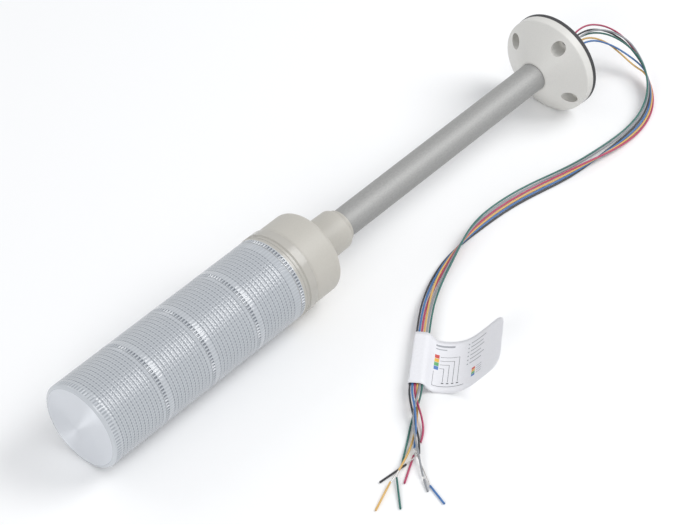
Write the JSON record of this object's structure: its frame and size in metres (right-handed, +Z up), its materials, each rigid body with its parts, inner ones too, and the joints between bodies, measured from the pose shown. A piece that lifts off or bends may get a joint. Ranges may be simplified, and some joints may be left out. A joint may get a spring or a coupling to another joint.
{
  "type": "signal tower light",
  "caption": "Round machine signal tower: a stack of clear ribbed light tiers with a shallow cone top on a housing, on a metal pole with a round bolted flange and loose flying leads.",
  "frame": {"origin": "on the floor under the middle of the lamp's own box, flying leads and label left out", "axes": "the lamp lies as it comes to rest: +X along the lamp from the lens end to the mounting flange, +Z up; the lamp's axis rises 0.70 degrees towards the flange"},
  "size_m": [0.5352, 0.2236, 0.0712],
  "materials": {
    "black_rubber": "matte",
    "flange_grey": "fine moulded",
    "anodised_aluminium": "satin anodised",
    "zinc_steel": "zinc plated",
    "housing_beige": "semi-gloss moulded",
    "clear_lens": "clear prismatic",
    "seal_grey": "matte",
    "circuit_board": "solder mask",
    "black_plastic": "moulded",
    "white_plastic": "semi-gloss",
    "led_white": "gloss",
    "tinned_copper": "tinned strands",
    "lead_black_skin": "soft vinyl",
    "lead_green_skin": "soft vinyl",
    "lead_grey_skin": "soft vinyl",
    "lead_red_skin": "soft vinyl",
    "lead_yellow_skin": "soft vinyl",
    "lead_blue_skin": "soft vinyl",
    "label_film": "satin film"
  },
  "bodies": {
    "lamp_base": {"panel_gasket": "black_rubber", "mounting_flange": "flange_grey", "flange_nut": "zinc_steel", "pole": "anodised_aluminium", "pole_nut": "zinc_steel", "lower_housing": "housing_beige", "base_ring": "clear_lens", "tier_seal_1": "seal_grey", "control_board": "circuit_board", "board_screws": "zinc_steel", "terminal_block": "black_plastic", "driver_parts": "black_plastic", "column_spacer": "white_plastic", "tie_rod": "zinc_steel", "clamp_disc": "zinc_steel", "rod_nut": "zinc_steel", "tier_board_1": "circuit_board", "tier_board_2": "circuit_board", "tier_board_3": "circuit_board", "tier_board_4": "circuit_board", "leds_1": "led_white", "leds_2": "led_white", "leds_3": "led_white", "leds_4": "led_white", "reflector_1": "white_plastic", "reflector_2": "white_plastic", "reflector_3": "white_plastic", "reflector_4": "white_plastic", "board_link_1": "black_plastic", "board_link_2": "black_plastic", "board_link_3": "black_plastic", "board_link_4": "black_plastic", "inner_leads": "lead_black_skin", "lead_green": "lead_green_skin", "lead_grey": "lead_grey_skin", "lead_red": "lead_red_skin", "lead_yellow": "lead_yellow_skin", "lead_blue": "lead_blue_skin", "lead_black": "lead_black_skin", "lead_tip_green": "lead_green_skin", "lead_tip_grey": "lead_grey_skin", "lead_tip_red": "lead_red_skin", "lead_tip_yellow": "lead_yellow_skin", "lead_tip_blue": "lead_blue_skin", "lead_tip_black": "lead_black_skin", "bared_conductors": "tinned_copper", "lead_label": "label_film"},
    "tier_1": {"lens_1": "clear_lens", "tier_seal_2": "seal_grey"},
    "tier_2": {"lens_2": "clear_lens", "tier_seal_3": "seal_grey"},
    "tier_3": {"lens_3": "clear_lens", "tier_seal_4": "seal_grey"},
    "tier_4": {"lens_4": "clear_lens"}
  },
  "joints": [
    {"name": "tier_1_twist", "type": "hinge", "parent": "lamp_base", "child": "tier_1", "pos_m": [-0.06541, 0, 0.03199], "axis": [-0.9999, 0, -0.0122], "range_deg": [0, 15]},
    {"name": "tier_2_twist", "type": "hinge", "parent": "tier_1", "child": "tier_2", "pos_m": [-0.10621, 0, 0.03149], "axis": [-0.9999, 0, -0.0122], "range_deg": [0, 15]},
    {"name": "tier_3_twist", "type": "hinge", "parent": "tier_2", "child": "tier_3", "pos_m": [-0.14701, 0, 0.031], "axis": [-0.9999, 0, -0.0122], "range_deg": [0, 15]},
    {"name": "tier_4_twist", "type": "hinge", "parent": "tier_3", "child": "tier_4", "pos_m": [-0.1878, 0, 0.0305], "axis": [-0.9999, 0, -0.0122], "range_deg": [0, 15]}
  ]
}
